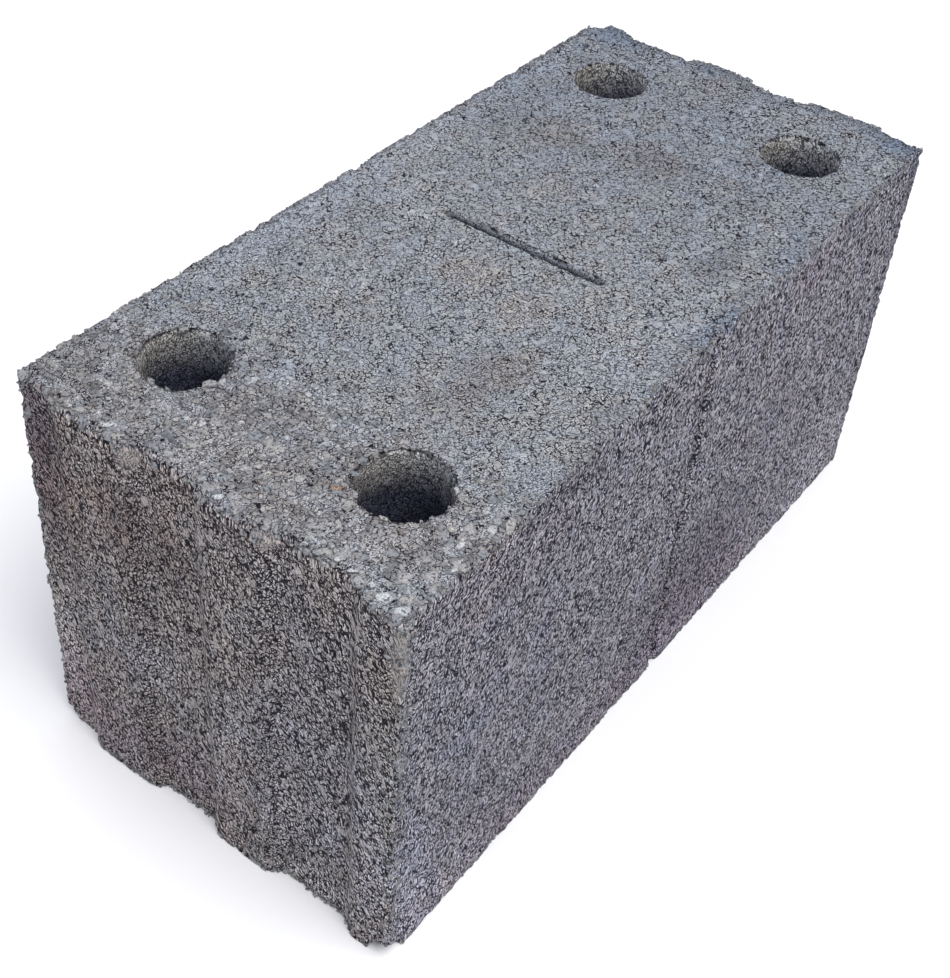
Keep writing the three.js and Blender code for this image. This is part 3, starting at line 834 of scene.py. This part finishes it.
gravelLook = {
    # how the share of a stone's tone picks its colour
    "tones": {"dark": (0.0, "#6a6c70"), "grey": (0.2, "#7c7e82"), "clay": (0.42, "#83817f"),
              "ash": (0.62, "#8e8d8f"), "slate": (0.74, "#7a7e83"), "sand": (0.84, "#969491"),
              "rose": (0.9, "#999697"), "chalk": (0.97, "#aeb1b3"), "rust": (1.0, "#8b7464")},
    # painted shade: a stone is painted darker the less it stands out of the concrete
    "lift": (0.0, 0.5, 0.15, 1.0),  # mm out of the concrete, and how light a stone is there
    "speckle": 0.8, "crust": 1.5, "chip": 0.7, "chipRelief": 0.4,  # mm
    "speckleTone": (0.3, 0.7, 0.62, 1.36), "crustTone": (0.3, 0.42, 0.25, 1.0),
    "chipStrength": 0.7, "roughness": 0.8,
}


def bareGravel(look):
    # river stones laid bare by the worn paste: ash, clay, slate-blue and a few chalk-white, nearly matt
    material, tree, shader = newMaterial("bareGravel", look["roughness"])
    add = partial(addNode, tree)
    place = add("VectorMath", (add("TexCoord").outputs["Object"], 1 / mm), "SCALE")
    tone, lift = (add("Attribute", attribute_name=name).outputs["Fac"]
                  for name in ("stoneTone", "stoneLift"))
    palette = add("ValToRGB", (tone,))
    stops = palette.color_ramp.elements
    stops.remove(stops[1])
    for k, (at, colour) in enumerate(look["tones"].values()):
        stop = stops.new(at) if k else stops[0]
        stop.position, stop.color = at, linearColour(colour)
    speckle = add("TexNoise", (place, 1 / look["speckle"], 1.0))
    crust = add("TexNoise", (place, 1 / look["crust"], 0.0))
    # painted shade where the stone sinks into the concrete, then its speckle and crust
    shade = add("MapRange", (lift, *look["lift"]))
    for factor in (add("MapRange", (speckle, *look["speckleTone"])),
                   add("MapRange", (crust, *look["crustTone"]), **smooth)):
        shade = add("Math", (shade, factor), "MULTIPLY")
    shade = add("CombineXYZ", (shade, shade, shade))
    colour = add("Mix", (1.0, palette, shade), **tinting)
    tree.links.new(colour.outputs[2], shader.inputs["Base Color"])
    chips = add("TexNoise", (place, 1 / look["chip"], 2.0))
    chips = {"Strength": look["chipStrength"], "Distance": look["chipRelief"] * mm, "Height": chips}
    bump = add("Bump", chips)
    tree.links.new(bump.outputs[0], shader.inputs["Normal"])
    return material


beddedPebbles = {
    "rough": 0.2, "thick": 0.42, "proud": 0.75, "knockScale": 1.3, "lobes": 2.0, "apart": 9.0, "seed": 3,
    # place on the top, length, breadth and turn in degrees, then the tone, in mm
    "laid": [
        (-230, -102, 8.6, 8.0, 0, "rose"), (-222, -110, 7.6, 7.4, 30, "rose"),
        (-244, -102, 11.0, 6.0, -52, "chalk"), (-245, -112, 7.8, 6.0, -52, "chalk"),
        (-242, -94, 3.2, 3.4, 0, "chalk"), (-243, -89, 7.0, 8.5, 20, "ash"),
        (-239, -110, 8.0, 4.5, -50, "sand"), (-214, -115, 3.6, 3.2, 0, "chalk"),
        (-210, -117, 4.6, 6.0, 0, "sand"), (-200, -108, 7.0, 3.6, 0, "chalk"),
        (-240, -74, 4.0, 3.0, -52, "chalk"), (-241, -83, 4.6, 2.4, -52, "chalk"),
        (-245, -11, 6.0, 3.6, -52, "chalk"), (-240, -16, 8.0, 6.0, -40, "ash"),
        (-244, -4, 6.8, 5.0, -52, "ash"), (-235, -4, 8.0, 6.0, -50, "slate"),
        (-228, -23, 6.0, 3.6, -50, "slate"), (-208, -46, 6.4, 3.2, -52, "rust"),
        (-203, -28, 5.4, 5.6, 0, "clay"), (-236, -74, 8.6, 7.4, -50, "ash"),
        (-240, -67, 8.0, 4.4, -52, "sand"), (-231, -55, 12.0, 4.5, -52, "ash"),
        (-246, 50, 7.6, 4.6, -52, "sand"), (-243, 58, 10.0, 3.0, -52, "chalk"),
        (-241, 89, 5.0, 3.2, -52, "clay"), (-246, 82, 3.4, 2.6, -52, "chalk"),
        (-242, 80, 6.4, 5.0, -50, "slate"), (-239, 25, 6.4, 5.4, -52, "ash"),
        (-229, 21, 13.0, 4.0, -52, "sand"), (-226, 60, 6.6, 5.4, -50, "ash"),
        (-234, 67, 5.6, 3.6, -52, "ash")],
}


def buildPebbles(s):
    # flat pebbles pressed level with the top, each knocked out of round in its own way
    noise.seed_set(s["seed"])
    shapes = bmesh.new()
    lift = shapes.verts.layers.float.new("stoneLift")
    tone = shapes.verts.layers.float.new("stoneTone")
    for k, (x, y, length, breadth, turn, toneName) in enumerate(s["laid"]):
        new = bmesh.ops.create_icosphere(shapes, subdivisions=2, radius=1.0)["verts"]
        thick = s["thick"] * min(length, breadth)
        size = Matrix.Diagonal((length / 2, breadth / 2, thick, 1))
        turned = Matrix.Translation((x, y, castBlock["height"] - thick * s["proud"]))
        turned = turned @ Matrix.Rotation(math.radians(turn), 4, "Z")
        for vert in new:
            # each point's height on the ball, for painted shade on the pebble's lower half
            vert[lift] = max(0.0, vert.co.z)
            vert[tone] = gravelLook["tones"][toneName][0]
            knock = noise.noise_vector(vert.co * s["knockScale"] + Vector((s["apart"] * k, 0.0, 0.0)))
            vert.co = vert.co * (1 + s["rough"] * s["lobes"] * knock.x) + knock * s["rough"]
            vert.co = turned @ size @ vert.co
            vert.co = [min(max(c * mm, low), high) for c, low, high in zip(vert.co, *cadBox)]
    mesh = bpy.data.meshes.new("beddedPebbles")
    shapes.to_mesh(mesh)
    return mesh


print("materials")
concrete = pressedConcrete(concreteLook)
gravel = bareGravel(gravelLook)

print("cast block")
rawBlock = addObject("cast_block_raw", buildCastBlock(castBlock))
block = addObject("cast_block", runTree(rawBlock, castSkinTree(), castSkin))
bpy.data.objects.remove(rawBlock)
block.data.materials.append(concrete)
block.data.polygons.foreach_set("use_smooth", [True] * len(block.data.polygons))
print("cast block triangles", len(block.data.polygons))

print("loose stones")
looseStones = {
    "near_end_stones": ("nearEnd", {
        "Spacing": 4.6, "Density": 260000.0, "Smallest": 0.9, "Largest": 4.2, "Sunk": 0.25, "Seed": 5}),
    "arris_stones": ("arrisBand", {
        "Spacing": 2.0, "Density": 300000.0, "Smallest": 0.7, "Largest": 2.3, "Sunk": 0.1, "Seed": 9}),
}
stonePieces = []
for name, (whereName, numbers) in looseStones.items():
    stones = runTree(block, looseStoneTree(name, numbers, whereName, gravel), numbers)
    stonePieces.append(addObject(name, stones))
pebbles = buildPebbles(beddedPebbles)
pebbles.materials.append(gravel)
pebbles.polygons.foreach_set("use_smooth", [True] * len(pebbles.polygons))
stonePieces.append(addObject("bedded_pebbles", pebbles))
for piece in stonePieces:
    print(piece.name, len(piece.data.polygons))

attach(block, "root")
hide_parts("concrete_block")
for piece in stonePieces:
    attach(piece, "root")

print("studio")
studio = {
    "floorSize": 12.0, "floorColour": "#f6f5f4", "floorRoughness": 0.9,
    "skyStrength": 0.85, "skyColour": "#f2f5ff",
    "keyPower": 55.0, "keySize": 1.6, "keyPlace": (-0.45, -1.1, 2.6), "keyAim": (0, 0, 0.12),
}

floorMesh = bpy.data.meshes.new("floor")
half = studio["floorSize"] / 2
corners = [(-half, -half, 0), (half, -half, 0), (half, half, 0), (-half, half, 0)]
floorMesh.from_pydata(corners, [], [(0, 1, 2, 3)])
floor = addObject("floor", floorMesh)
floorPaint, _, floorShader = newMaterial("paleFloorPaint", studio["floorRoughness"])
floorShader.inputs["Base Color"].default_value = linearColour(studio["floorColour"])
floorMesh.materials.append(floorPaint)

world = bpy.data.worlds.new("studioSky")
scene.world = world
world.use_nodes = True
sky = world.node_tree.nodes["Background"].inputs
sky["Color"].default_value = linearColour(studio["skyColour"])
sky["Strength"].default_value = studio["skyStrength"]

keyData = bpy.data.lights.new("overheadSoftbox", "AREA")
keyData.energy = studio["keyPower"]
keyData.shape = "DISK"
keyData.size = studio["keySize"]
keyLight = addObject("overheadSoftbox", keyData)
keyLight.location = studio["keyPlace"]
towards = Vector(studio["keyAim"]) - keyLight.location
keyLight.rotation_euler = towards.to_track_quat("-Z", "Y").to_euler()

cameraView = {
    "focal": 1547.78, "middleX": 448.11, "middleY": 396.42, "frameWidth": 950, "frameHeight": 978,
    "sensor": 36.0, "nearest": 0.05,
    "place": (-0.583702, -0.363303, 0.711007),
    "right": (0.6074799, -0.7924416, 0.0548128),
    "down": (-0.4819195, -0.4225310, -0.7676074),
    "forward": (0.6314442, 0.4398907, -0.6385722),
}
cameraData = bpy.data.cameras.new("camera")
cameraData.sensor_fit = "VERTICAL"
cameraData.sensor_height = cameraView["sensor"]
cameraData.lens = cameraView["sensor"] * cameraView["focal"] / cameraView["frameHeight"]
cameraData.shift_x = (cameraView["frameWidth"] / 2 - cameraView["middleX"]) / cameraView["frameHeight"]
cameraData.shift_y = (cameraView["middleY"] - cameraView["frameHeight"] / 2) / cameraView["frameHeight"]
cameraData.clip_start = cameraView["nearest"]
camera = addObject("camera", cameraData)
axes = [Vector(cameraView["right"]), -Vector(cameraView["down"]), -Vector(cameraView["forward"])]
camera.matrix_world = Matrix.Translation(cameraView["place"]) @ Matrix(axes).transposed().to_4x4()
scene.camera = camera

scene.view_settings.view_transform = "Standard"

print("finishing")
